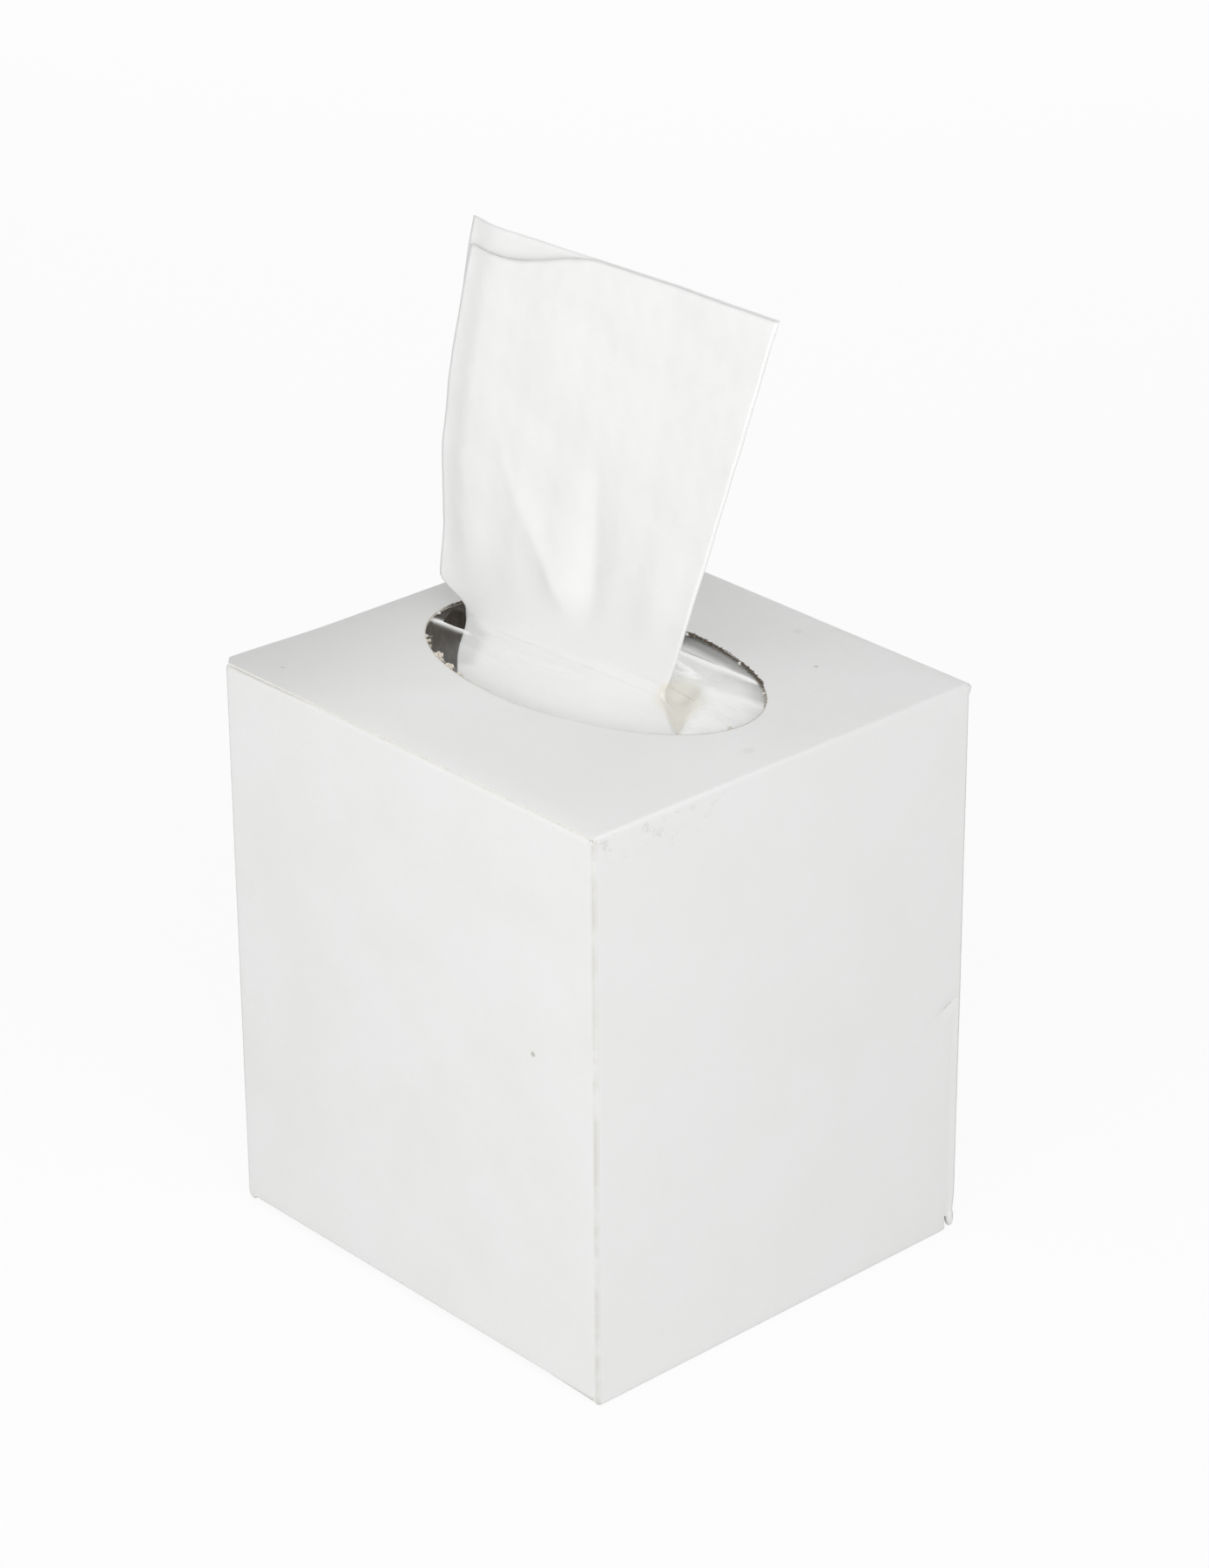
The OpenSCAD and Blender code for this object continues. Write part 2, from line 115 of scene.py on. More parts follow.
def inside_of(x, y, corners, soft):
    """1 inside a convex outline drawn against the clock, falling to 0 over a soft border."""
    depth = np.full(np.broadcast(x, y).shape, np.inf)
    for (x0, y0), (x1, y1) in zip(corners, corners[1:] + corners[:1]):
        run = math.hypot(x1 - x0, y1 - y0)
        depth = np.minimum(depth, ((x1 - x0) * (y - y0) - (y1 - y0) * (x - x0)) / run)
    return smooth(0.5 + depth / soft)


def new_object(name, points, faces, material, uvs=None):
    """A mesh piece from points in mm, smooth shaded, that rides on the one body."""
    mesh = bpy.data.meshes.new(name)
    mesh.from_pydata((np.asarray(points) * MM).tolist(), [], faces)
    mesh.polygons.foreach_set("use_smooth", [True] * len(mesh.polygons))
    if uvs is not None:
        layer = mesh.uv_layers.new(name="sheet")
        corner = np.empty(len(mesh.loops), dtype=int)
        mesh.loops.foreach_get("vertex_index", corner)
        layer.data.foreach_set("uv", np.asarray(uvs)[corner].ravel())
    mesh.materials.append(material)
    mesh.update()
    piece = bpy.data.objects.new(name, mesh)
    bpy.context.scene.collection.objects.link(piece)
    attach(piece, "root")
    return piece


def paint(piece, name, values):
    """Stores one number at each point of a piece, for its material."""
    layer = piece.data.attributes.new(name, "FLOAT", "POINT")
    layer.data.foreach_set("value", values.ravel())


def grid_faces(rows, cols, keep=None, closed=False):
    """Quads of a grid of points stored row by row."""
    faces = []
    for i in range(rows - 1):
        for j in range(cols if closed else cols - 1):
            if keep is None or keep(i, j):
                k = (j + 1) % cols
                faces.append((i * cols + j, (i + 1) * cols + j, (i + 1) * cols + k, i * cols + k))
    return faces


class Shader:
    """A material's nodes, with short calls to add and link them."""

    def __init__(self, name):
        self.material = bpy.data.materials.new(name)
        self.material.use_nodes = True
        self.tree = self.material.node_tree
        self.surface = self.tree.nodes["Principled BSDF"]
        self.coords = self.tree.nodes.new("ShaderNodeTexCoord")

    def feed(self, socket, value):
        if isinstance(value, bpy.types.NodeSocket):
            self.tree.links.new(value, socket)
        else:
            socket.default_value = value

    def noise(self, scale, detail=4.0, rough=0.5, stretch=None, source="Object"):
        place = self.coords.outputs[source]
        if stretch is not None:
            mapping = self.tree.nodes.new("ShaderNodeMapping")
            mapping.inputs["Scale"].default_value = stretch
            self.feed(mapping.inputs["Vector"], place)
            place = mapping.outputs["Vector"]
        node = self.tree.nodes.new("ShaderNodeTexNoise")
        self.feed(node.inputs["Vector"], place)
        node.inputs["Scale"].default_value = scale
        node.inputs["Detail"].default_value = detail
        node.inputs["Roughness"].default_value = rough
        return node.outputs["Fac"]

    def math(self, operation, a, b=0.0):
        node = self.tree.nodes.new("ShaderNodeMath")
        node.operation = operation
        self.feed(node.inputs[0], a)
        self.feed(node.inputs[1], b)
        return node.outputs[0]

    def span(self, value, low, high, to_low=0.0, to_high=1.0):
        node = self.tree.nodes.new("ShaderNodeMapRange")
        node.interpolation_type = "SMOOTHSTEP"
        self.feed(node.inputs["Value"], value)
        limits = {"From Min": low, "From Max": high, "To Min": to_low, "To Max": to_high}
        for name, number in limits.items():
            node.inputs[name].default_value = number
        return node.outputs["Result"]

    def blend(self, share, a, b):
        node = self.tree.nodes.new("ShaderNodeMix")
        node.data_type = "RGBA"
        self.feed(node.inputs["Factor"], share)
        self.feed(node.inputs["A"], a)
        self.feed(node.inputs["B"], b)
        return node.outputs["Result"]

    def near(self, place, reach):
        """1 at a point of the part in mm, falling to 0 at reach mm from it."""
        node = self.tree.nodes.new("ShaderNodeVectorMath")
        node.operation = "DISTANCE"
        self.feed(node.inputs[0], self.coords.outputs["Object"])
        node.inputs[1].default_value = [v * MM for v in place]
        return self.span(node.outputs["Value"], 0.35 * reach * MM, reach * MM, 1.0, 0.0)

    def attribute(self, name):
        node = self.tree.nodes.new("ShaderNodeAttribute")
        node.attribute_name = name
        return node.outputs["Fac"]

    def axes(self):
        node = self.tree.nodes.new("ShaderNodeSeparateXYZ")
        self.feed(node.inputs[0], self.coords.outputs["Object"])
        return node.outputs

    def bump(self, height, strength, distance, under=None):
        node = self.tree.nodes.new("ShaderNodeBump")
        node.inputs["Strength"].default_value = strength
        node.inputs["Distance"].default_value = distance
        self.feed(node.inputs["Height"], height)
        if under is not None:
            self.feed(node.inputs["Normal"], under)
        return node.outputs["Normal"]

    def finish(self, **sockets):
        for name, value in sockets.items():
            self.feed(self.surface.inputs[name.replace("_", " ")], value)
        return self.material


def rgb(r, g, b):
    return (r, g, b, 1.0)


# Marks that the photograph shows on the board: place in mm, reach in mm and depth.
SPECKS = (
    ((39.7, -54.0, 77.2), 0.9, 0.30),
    ((-46.7, -47.4, 133.0), 0.7, 0.13),
    ((30.0, 35.7, 133.0), 0.7, 0.20),
    ((14.4, 45.4, 133.0), 1.6, 0.05),
    ((50.1, -3.5, 133.0), 1.8, 0.05),
    ((-33.0, -14.0, 133.0), 0.5, 0.22),
)


# The worn line at the upright creases, as distances in from the walls, and where the top begins, in mm.
WORN_FROM, WORN_TO = 1.3, 0.5
TOP_FROM, TOP_TO = 132.2, 132.6


def board_material():
    """White board: fine grain, faint warm clouds, score lines at the creases, rubs and specks, with painted
    shade on the top's left part and on the right wall, and painted light on the top towards its front
    corner.
    """
    s = Shader("white_board")
    x, y, z = s.axes()
    clouds = s.noise(38.0, 5.0, 0.55)
    colour = s.blend(s.span(clouds, 0.35, 0.7), rgb(0.850, 0.850, 0.848), rgb(0.832, 0.830, 0.820))
    grain = s.noise(750.0, 6.0, 0.65)
    colour = s.blend(s.span(grain, 0.55, 0.8, 0.0, 0.3), colour, rgb(0.77, 0.765, 0.75))
    side_x = s.span(s.math("ABSOLUTE", x), (CARTON_L / 2 - WORN_FROM) * MM, (CARTON_L / 2 - WORN_TO) * MM)
    side_y = s.span(s.math("ABSOLUTE", y), (CARTON_W / 2 - WORN_FROM) * MM, (CARTON_W / 2 - WORN_TO) * MM)
    worn = s.span(s.noise(120.0, 4.0, 0.6), 0.3, 0.6, 0.5, 1.0)
    score = s.math("MULTIPLY", s.math("MULTIPLY", side_x, side_y), worn)
    colour = s.blend(score, colour, rgb(0.63, 0.622, 0.595))
    top = s.span(z, TOP_FROM * MM, TOP_TO * MM)
    # Painted shade: the top darkens towards its left end.
    painted_shade_left = s.math("MULTIPLY", top, s.span(x, -8.0 * MM, -58.0 * MM))
    colour = s.blend(painted_shade_left, colour, rgb(0.70, 0.70, 0.695))
    # Painted light: the top lightens towards its front right corner.
    painted_light_front = s.math("MULTIPLY", top, s.span(s.math("SUBTRACT", x, y), 0.0, 110.0 * MM))
    colour = s.blend(s.math("MULTIPLY", painted_light_front, 0.6), colour, rgb(0.92, 0.92, 0.915))
    rubs = s.span(s.noise(420.0, 5.0, 0.7), 0.56, 0.66)
    by_top = s.span(z, 121.0 * MM, 131.0 * MM)
    by_front = s.span(y, -8.0 * MM, -40.0 * MM)
    # Painted shade: the whole right wall is darkened a little; the same mask also places the rubs.
    right = s.span(x, 58.0 * MM, 58.3 * MM)
    colour = s.blend(s.math("MULTIPLY", right, 0.4), colour, rgb(0.76, 0.76, 0.757))
    place = s.math("MULTIPLY", s.math("MULTIPLY", by_top, by_front), right)
    colour = s.blend(s.math("MULTIPLY", s.math("MULTIPLY", rubs, place), 0.3), colour, rgb(0.5, 0.49, 0.47))
    for spot, reach, depth in SPECKS:
        colour = s.blend(s.math("MULTIPLY", s.near(spot, reach), depth * 2), colour, rgb(0.33, 0.29, 0.24))
    fibres = s.noise(1300.0, 3.0, 0.6)
    normal = s.bump(fibres, 0.12, 0.0002)
    normal = s.bump(s.noise(160.0, 4.0, 0.5), 0.10, 0.0006, normal)
    rough = s.span(grain, 0.3, 0.7, 0.58, 0.74)
    s.surface.inputs["Specular IOR Level"].default_value = 0.3
    return s.finish(Base_Color=colour, Roughness=rough, Normal=normal)


def inner_material():
    """The board's grey-brown inner face, with darker and lighter fibres."""
    s = Shader("board_inside")
    fibres = s.noise(520.0, 6.0, 0.7, stretch=(1.0, 1.0, 0.45))
    colour = s.blend(s.span(fibres, 0.35, 0.7), rgb(0.36, 0.31, 0.26), rgb(0.50, 0.45, 0.39))
    normal = s.bump(fibres, 0.25, 0.0003)
    return s.finish(Base_Color=colour, Roughness=0.85, Normal=normal)


def edge_material():
    """Cut board: pale cream fibres with faint brown flecks."""
    s = Shader("cut_board")
    flecks = s.noise(1500.0, 5.0, 0.7)
    colour = s.blend(s.span(flecks, 0.35, 0.55), rgb(0.76, 0.73, 0.67), rgb(0.85, 0.84, 0.80))
    normal = s.bump(flecks, 0.5, 0.0003)
    return s.finish(Base_Color=colour, Roughness=0.9, Normal=normal)


def cut_evenly(bm):
    """Cuts the board's large faces into a grid, finer by the seam and by the lifted corner."""
    places = [(0, v) for v in np.arange(-56.0, 57.0, 4.0)]
    places += [(1, v) for v in np.arange(-52.0, 53.0, 4.0)] + [(1, v) for v in np.arange(45.0, 54.0, 1.0)]
    places += [(2, v) for v in np.arange(4.0, 132.0, 4.0)] + [(2, v) for v in np.arange(51.0, 62.0, 1.0)]
    for axis, value in places:
        point = [0.0, 0.0, 0.0]
        point[axis] = value * MM
        normal = [0.0, 0.0, 0.0]
        normal[axis] = 1.0
        geom = bm.verts[:] + bm.edges[:] + bm.faces[:]
        bmesh.ops.bisect_plane(bm, geom=geom, dist=1e-6, plane_co=point, plane_no=normal)


# The pressed tips at the carton's corners, in mm: radius, stretch of the lower ones, and heights.
TIP_R = CREASE_R - 0.03
TIP_TALL = 2.0
TIP_LOW = TIP_TALL * TIP_R + 0.05
TIP_HIGH = CARTON_H - BOARD_T - 0.1 - TIP_R


def close_corners(bm):
    """Adds the round tips of board that are pressed together where three creases meet."""
    for side_x in (-1, 1):
        for side_y in (-1, 1):
            for z, tall in ((TIP_LOW, TIP_TALL), (TIP_HIGH, 1.0)):
                middle = Vector((side_x * (CARTON_L / 2 - CREASE_R), side_y * (CARTON_W / 2 - CREASE_R), z))
                place = Matrix.Translation(middle * MM) @ Matrix.Diagonal((1.0, 1.0, tall, 1.0))
                bmesh.ops.create_icosphere(bm, subdivisions=3, radius=TIP_R * MM, matrix=place)


def face_kind(face):
    """0 for the board's white side, 1 for its inner side and 2 for a cut edge."""
    c = face.calc_center_median() / MM
    n = face.normal
    if c.z > CARTON_H - BOARD_T and abs(n.z) < 0.5:
        return 2
    core = Vector((CARTON_L / 2 - CREASE_R, CARTON_W / 2 - CREASE_R, 0))
    held = Vector((max(min(c.x, core.x), -core.x), max(min(c.y, core.y), -core.y),
                   max(min(c.z, CARTON_H - 2.0), 2.5)))
    away = (c - held)
    if away.length < 1e-6:
        return 2
    out = n.dot(away.normalized())
    return 0 if out > 0.45 else 1 if out < -0.45 else 2


# Wear of the board, in mm: the panel's loose left corner and pressed edges, bowed walls and two dents.
LIFT_CORNER = 0.4
CORNER_SHIFT = (-0.72, -0.79)
CORNER_REACH = 30.0
EDGE_PRESS, EDGE_RUN = 0.3, 2.2
WALL_BOW = 0.35
WALL_WAVE, TOP_WAVE = 0.06, 0.05
DENT, DENT_DEPTH, DENT_REACH = (58.5, 48.6, 56.9), 0.45, 3.2
FOOT_DENT, FOOT_DEPTH, FOOT_REACH = (58.5, 52.4, 3.3), 0.7, 5.0


def settle_board(p):
    """Moves the board's points, in mm, as wear and loose glue have."""
    x, y, z = p[:, 0].copy(), p[:, 1].copy(), p[:, 2].copy()
    bow = np.sin(np.pi * np.clip(z / CARTON_H, 0, 1))
    by_y = smooth(1 - (CARTON_W / 2 - np.abs(y)) / 3)
    by_x = smooth(1 - (CARTON_L / 2 - np.abs(x)) / 3)
    p[:, 1] += WALL_BOW * np.sign(y) * by_y * bow * np.cos(np.pi * x / CARTON_L)
    p[:, 0] += WALL_BOW * np.sign(x) * by_x * bow * np.cos(np.pi * y / CARTON_W)
    p[:, 0] += WALL_WAVE * ripple(y, z, 34.0, 3) * by_x * bow
    p[:, 1] += WALL_WAVE * ripple(x, z, 34.0, 4) * by_y * bow
    panel = z > CARTON_H - BOARD_T - 0.01
    away = np.hypot((x + CARTON_L / 2) * 0.9, y + CARTON_W / 2)
    loose = panel * smooth(1 - away / CORNER_REACH)
    p[:, 0] += CORNER_SHIFT[0] * loose
    p[:, 1] += CORNER_SHIFT[1] * loose
    p[:, 2] += LIFT_CORNER * loose
    to_edge = np.minimum(CARTON_W / 2 - np.abs(y), x + CARTON_L / 2)
    p[:, 2] -= panel * EDGE_PRESS * smooth(1 - to_edge / EDGE_RUN)
    p[:, 2] += (z > CARTON_H - 4) * TOP_WAVE * ripple(x, y, 30.0, 5) * (1 - by_x) * (1 - by_y)
    right = smooth(1 - (CARTON_L / 2 - x) / 2)
    run = np.hypot((y - DENT[1]) * 0.6, (z - DENT[2] - 0.35 * (y - DENT[1])) * 1.6)
    p[:, 0] -= right * DENT_DEPTH * smooth(1 - run / DENT_REACH)
    foot = np.hypot(y - FOOT_DENT[1], z - FOOT_DENT[2])
    p[:, 0] -= right * FOOT_DEPTH * smooth(1 - foot / FOOT_REACH)
    return p


def make_board():
    """The carton's own mesh, cut finely, settled, and coloured by the side of the board that shows."""
    bm = bmesh.new()
    bm.from_mesh(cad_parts["carton"].data)
    bmesh.ops.remove_doubles(bm, verts=bm.verts[:], dist=1e-6)
    bmesh.ops.dissolve_limit(bm, angle_limit=math.radians(0.4), verts=bm.verts[:], edges=bm.edges[:])
    cut_evenly(bm)
    close_corners(bm)
    bm.normal_update()
    for face in bm.faces:
        face.material_index = face_kind(face)
        face.smooth = True
    for edge in bm.edges:
        sharp = len(edge.link_faces) == 2 and edge.calc_face_angle(0.0) > math.radians(32)
        edge.smooth = not sharp
    places = settle_board(np.array([v.co[:] for v in bm.verts]) / MM)
    for vert, place in zip(bm.verts, places):
        vert.co = place * MM
    bm.normal_update()
    mesh = bpy.data.meshes.new("carton_board")
    bm.to_mesh(mesh)
    bm.free()
    for material in (board_material(), inner_material(), edge_material()):
        mesh.materials.append(material)
    piece = bpy.data.objects.new("carton_board", mesh)
    bpy.context.scene.collection.objects.link(piece)
    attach(piece, "root")
    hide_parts("carton")
    return piece


# Torn stretches of the mouth's rim: middle and half width as angles in degrees, ragged reach in mm,
# share of brown fibres, number of fibres and of crumbs, and the crumbs' size in mm. Shares near 1, at the
# back, turn the cut face near black as painted shade.
TEARS = (
    (215.0, 0.6, 1.10, 0.00, 3, 1, 0.16),
    (219.0, 1.2, 0.80, 0.05, 6, 14, 0.42),
    (223.0, 1.4, 0.45, 0.15, 6, 12, 0.30),
    (231.0, 2.0, 1.45, 0.05, 10, 44, 0.50),
    (235.5, 1.2, 0.70, 0.10, 6, 14, 0.36),
    (241.0, 2.0, 1.30, 0.05, 10, 40, 0.50),
    (247.0, 1.4, 0.70, 0.10, 6, 16, 0.36),
    (252.0, 0.8, 0.30, 0.20, 4, 5, 0.20),
    (260.5, 1.4, 0.45, 0.30, 8, 12, 0.26),
    (160.0, 26.0, 0.15, 0.80, 40, 10, 0.12),
    (76.0, 17.0, 0.22, 1.10, 70, 90, 0.24),
    (50.0, 14.0, 0.24, 1.00, 80, 80, 0.24),
    (30.0, 9.0, 0.30, 0.30, 50, 30, 0.22),
    (351.5, 1.3, 1.30, 0.00, 10, 8, 0.32),
    (328.2, 1.5, 0.80, 0.00, 10, 8, 0.30),
)
# The stretch of the rim where the film lies flush with the board, in degrees; the lip is widened there and
# painted whitish, painted light that hides the shade line between rim and film.
FLUSH_FROM, FLUSH_TO, FLUSH_SOFT = 250.0, 338.0, 12.0
FLUSH_REACH, FLUSH_PAINTED_LIGHT = 0.5, 0.8
RIM_POINTS = 1080
# The lip's section: share of its reach inwards, or outwards if negative, and height over the top in mm.
RIM_PROFILE = ((-1.0, 0.05), (0.35, 0.02), (1.0, -0.17), (0.7, -0.36), (-0.8, -0.50))


def rim_point(angle, inward):
    """Points at that distance inside the mouth's oval, in the mouth's frame."""
    c, s = np.cos(angle), np.sin(angle)
    out = np.stack([c / MOUTH_A, s / MOUTH_B], axis=-1)
    out = out / np.linalg.norm(out, axis=-1, keepdims=True)
    return np.stack([MOUTH_A * c, MOUTH_B * s], axis=-1) - out * np.asarray(inward)[..., None]


def tear_share(angle, middle, half):
    """1 in the middle of a torn stretch, falling to 0 at its ends."""
    off = np.abs((np.degrees(angle) - middle + 180) % 360 - 180)
    return smooth((1 - off / half) * 2)


def rim_band(rng):
    """The rim's frayed lip: a narrow band round the cut board that stands out where the board tore."""
    angle = np.linspace(0, 2 * math.pi, RIM_POINTS, endpoint=False)
    fine = np.abs(rng.normal(0, 1, RIM_POINTS)) * 0.6 + np.abs(ripple(angle * 60, angle * 0, 3.0, 41))
    reach = 0.04 + 0.03 * fine
    brown = np.full(RIM_POINTS, 0.15) + 0.25 * rng.random(RIM_POINTS)
    for middle, half, ragged, share, _, _, _ in TEARS:
        inside = tear_share(angle, middle, half)
        reach = reach + min(ragged, 0.4) * inside * fine * 0.6
        brown = brown + inside * (share * rng.uniform(0.4, 1.3, RIM_POINTS) - 0.1)
    turn = np.degrees(angle)
    flush = smooth((turn - FLUSH_FROM) / FLUSH_SOFT) * smooth((FLUSH_TO - turn) / FLUSH_SOFT)
    reach = reach + FLUSH_REACH * flush
    # Painted light: a lower brown whitens the flush stretch.
    brown = brown - FLUSH_PAINTED_LIGHT * flush
    edge = 0.12 + 0.5 * np.clip(brown - 0.4, 0, 0.8) * fine
    rows = []
    for inward, height in RIM_PROFILE:
        place = rim_point(angle, np.where(inward < 0, inward * edge, inward * reach))
        rows.append(np.column_stack([place, np.full(RIM_POINTS, height)]))
    faces = grid_faces(len(rows), RIM_POINTS, closed=True)
    return np.concatenate(rows), faces, np.tile(brown, len(rows))


def fibre(rng, start, along, length, width):
    """A thin tapered strand of four rings, bent a little at random."""
    side = np.cross(along, rng.normal(0, 1, 3))
    side = side / np.linalg.norm(side)
    other = np.cross(along, side)
    bend = rng.normal(0, 0.35, 3)
    points = []
    for k in range(4):
        t = k / 3
        middle = start + length * (along * t + bend * t * t)
        ring = width * (1 - 0.75 * t)
        for turn in (0.0, 2.1, 4.2):
            points.append(middle + ring * (side * math.cos(turn) + other * math.sin(turn)))
    return np.array(points), grid_faces(4, 3, closed=True)


CRUMB_FACES = ((0, 2, 4), (2, 1, 4), (1, 3, 4), (3, 0, 4), (2, 0, 5), (1, 2, 5), (3, 1, 5), (0, 3, 5))


def crumb(rng, middle, size):
    """A small uneven lump of torn board."""
    corner = np.array([[1, 0, 0], [-1, 0, 0], [0, 1, 0], [0, -1, 0], [0, 0, 1], [0, 0, -1]], dtype=float)
    return middle + corner * size * rng.uniform(0.5, 1.2, (6, 3)), CRUMB_FACES


def torn_bits(rng):
    """Fibres and crumbs along the torn stretches: points, faces and how brown each one is."""
    for middle, half, ragged, share, fibres, crumbs, size in TEARS:
        for k in range(fibres + crumbs):
            angle = np.radians(middle + half * np.clip(rng.normal(0, 0.5), -1, 1))
            inward = rng.uniform(-0.8 if share > 0.5 else 0.0, 1.0) * ragged
            start = np.append(rim_point(angle, inward), rng.uniform(-0.42, 0.04))
            deep = np.append(rim_point(angle, inward + 1.0), start[2])
            brown = share * rng.uniform(0.2, 1.4)
            if k < fibres:
                along = deep - start + rng.normal(0, 0.6, 3) * (1.0, 1.0, 0.6)
                along = along / np.linalg.norm(along)
                yield fibre(rng, start, along, rng.uniform(0.5, 1.6) * min(ragged, 0.7), 0.06) + (brown,)
            else:
                yield crumb(rng, start, rng.uniform(0.35, 1.0) * size) + (brown,)


def torn_material():
    """Torn board: cream fibres, brown where the grey core shows, near black as painted shade where the back
    rim lies in shadow, and whitish as painted light along the flush front stretch.
    """
    s = Shader("torn_fibres")
    flecks = s.noise(1800.0, 4.0, 0.7)
    brown = s.span(s.math("ADD", s.attribute("brown"), s.math("MULTIPLY", flecks, 0.5)), 0.25, 1.0)
    # Painted light: where brown falls below zero, along the flush stretch, the lip is whitened.
    white = s.span(s.attribute("brown"), -0.1, -0.5)
    # Brown fibres, real; at the back rim, where shares near 1 make them near black, the dark is painted
    # shade.
    colour = s.blend(brown, rgb(0.80, 0.75, 0.65), rgb(0.10, 0.08, 0.06))
    colour = s.blend(white, colour, rgb(0.87, 0.87, 0.86))
    return s.finish(Base_Color=colour, Roughness=0.95, Normal=s.bump(flecks, 0.4, 0.0002))


def make_torn_rim():
    """The mouth's rim where the oval was torn out of the board: frayed lip, fibres and crumbs."""
    rng = np.random.default_rng(7)
    points, faces, brown = rim_band(rng)
    points, faces, brown = [points], list(faces), [brown]
    count = len(points[0])
    for bit, bit_faces, shade in torn_bits(rng):
        faces += [tuple(count + v for v in face) for face in bit_faces]
        points.append(bit)
        brown.append(np.full(len(bit), shade))
        count += len(bit)
    place = np.concatenate(points)
    world = at_mouth(place[:, 0], place[:, 1], place[:, 2] + CARTON_H)
    piece = new_object("torn_rim", world, faces, torn_material())
    paint(piece, "brown", np.concatenate(brown))
    return piece


def lip(x):
    """Half the width between the film's lips at x."""
    half = LEAF_GAP + TISSUE_T / 2 + LIP_GAP
    left = 1 - np.clip((NECK_X0 + LIP_IN - x) / (SLIT_HALF + NECK_X0 + LIP_IN), 0, 1) ** LIP_ROUND
    right = 1 - np.clip((x - NECK_X1 - LIP_PAST) / (SLIT_HALF - NECK_X1 - LIP_PAST), 0, 1)
    return LIP_SHUT + (half - LIP_SHUT) * np.sqrt(left) * right ** LIP_CLOSE


def bow(x):
    """How far the front lip stands forward at x."""
    away = np.clip((x - BOW_X) / (NECK_X1 + LIP_PAST - BOW_X), 0, 1)
    return LIP_BOW * smooth((x + SLIT_HALF) / BOW_IN) * (1 - away ** BOW_POWER)


def film_lift(x, y):
    share = 1 - ((x / MOUTH_A) ** 2 + (y / MOUTH_B) ** 2) / LIFT_SHARE ** 2
    return FILM_LIFT * np.maximum(share, 0) ** LIFT_POWER


# Folds of the film, raised a little and painted as highlights: two ends in the mouth's frame, half width
# and strength.
STREAKS = (
    ((4.0, 16.6), (34.5, 16.6), 1.0, 1.0),
    ((9.5, 13.7), (22.6, 9.1), 0.8, 1.0),
    ((11.5, 7.8), (22.6, 9.5), 0.6, 1.0),
    ((-44.5, -7.3), (-29.0, -7.2), 1.0, 1.0),
    ((-33.0, -6.9), (-12.0, -8.5), 0.8, 0.15),
    ((-26.0, -9.5), (-2.0, -8.0), 0.9, 0.15),
    ((-30.0, -12.0), (-8.0, -14.5), 1.0, 0.12),
    ((-14.0, -7.5), (10.0, -6.5), 0.9, 0.15),
)
# The tucked pocket, and the part of the film to its right that is painted pale as sheen, as outlines in the
# mouth's frame.
POCKET_SEEN = ((21.5, -4.1), (37.4, -13.2), (30.9, 2.1), (21.8, 9.4), (16.3, 5.2))
PALE_SEEN = ((24.1, 7.5), (37.4, -13.2), (45.0, -12.0), (48.0, 0.0), (42.0, 10.6))


# How milky the film is, as faint haze and painted sheen: everywhere, right of its left end, at its right,
# behind the tissue and less so to the right there, in its pale part and by the front rim, and how much
# clearer it is by the back rim.
HAZE, MID_HAZE_SHEEN, RIGHT_HAZE_SHEEN, BACK_HAZE_SHEEN, BACK_SHEEN_LESS = 0.03, 0.07, 0.08, 0.38, 0.2
PALE_HAZE_SHEEN, FRONT_HAZE_SHEEN, RIM_CLEAR = 0.40, 0.08, 0.55


def film_haze_and_sheen(x, y):
    """How milky the film is, as haze and painted sheen: clear at its left end and by the back rim, pale at
    its right and front.
    """
    out = np.hypot(x / MOUTH_A, y / MOUTH_B)
    rim = 1 - RIM_CLEAR * smooth((out - 0.76) / 0.16) * smooth((y - 12) / 6) * smooth((32 - x) / 12)
    right = smooth((x - 14) / 8) * RIGHT_HAZE_SHEEN
    behind = smooth((x - 2) / 8) * smooth((y - 4) / 5) * (BACK_HAZE_SHEEN - BACK_SHEEN_LESS * smooth((x - 20) / 6))
    pale = PALE_HAZE_SHEEN * inside_of(x, y, PALE_SEEN, 3.0) * (1 - 0.9 * inside_of(x, y, POCKET_SEEN, 4.0))
    front = FRONT_HAZE_SHEEN * smooth((out - 0.78) / 0.2) * smooth(-y / 8) * smooth((x + 24) / 8)
    return HAZE + MID_HAZE_SHEEN * smooth((x + 34) / 10) + np.maximum((right + behind) * rim + pale, front)


def streak(x, y, ends, half):
    """1 on a fold's line, falling away over its half width, and thinner at its two ends."""
    (x0, y0), (x1, y1) = ends
    run = math.hypot(x1 - x0, y1 - y0)
    t = ((x - x0) * (x1 - x0) + (y - y0) * (y1 - y0)) / run ** 2
    off = ((x - x0) * (y1 - y0) - (y - y0) * (x1 - x0)) / run
    ease = np.clip(4 * t * (1 - t), 0, 1)
    return np.exp(-(off / (half * (0.35 + 0.65 * ease))) ** 2) * smooth(ease * 2)


